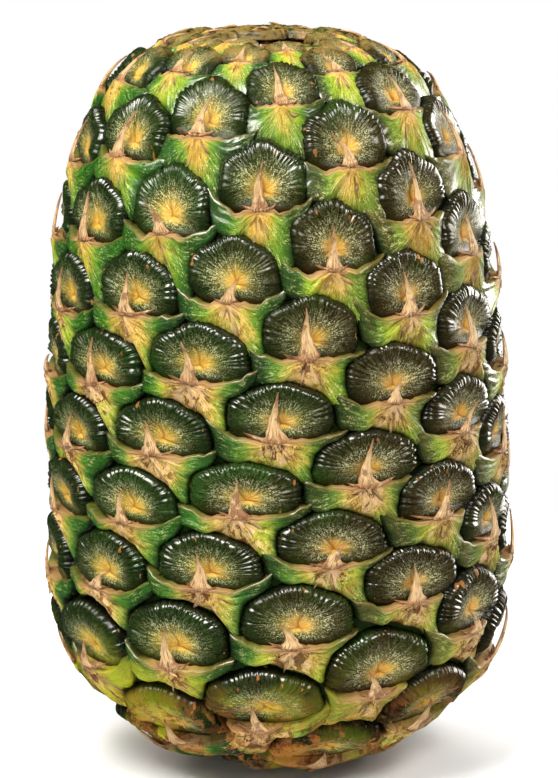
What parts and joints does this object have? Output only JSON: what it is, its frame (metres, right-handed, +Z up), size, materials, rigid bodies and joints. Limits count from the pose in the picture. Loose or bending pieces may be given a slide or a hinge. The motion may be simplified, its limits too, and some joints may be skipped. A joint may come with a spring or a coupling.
{
  "type": "pineapple",
  "caption": "Barrel-shaped pineapple fruit without its crown, with spiralling rounded eyes, pointed dry bract tips and a flat cut stem that it stands on.",
  "frame": {"origin": "centre of the cut face of the stem, which the fruit stands on", "axes": "+Z up along the fruit's axis; -Y is the side that faces the viewer in the picture; +X to that viewer's right"},
  "size_m": [0.1278, 0.1275, 0.198],
  "materials": {
    "rind": "dark green and olive cushions with glossy crimped rims and pale speckled middles",
    "bract": "leathery, green at the edges, yellow towards the tip, satin",
    "dry_tip": "dry papery tan bract tips, matte",
    "scar": "dry cut fibres of stem and crown scar, matte"
  },
  "bodies": {
    "root": {"pineapple": "rind"}
  },
  "joints": []
}
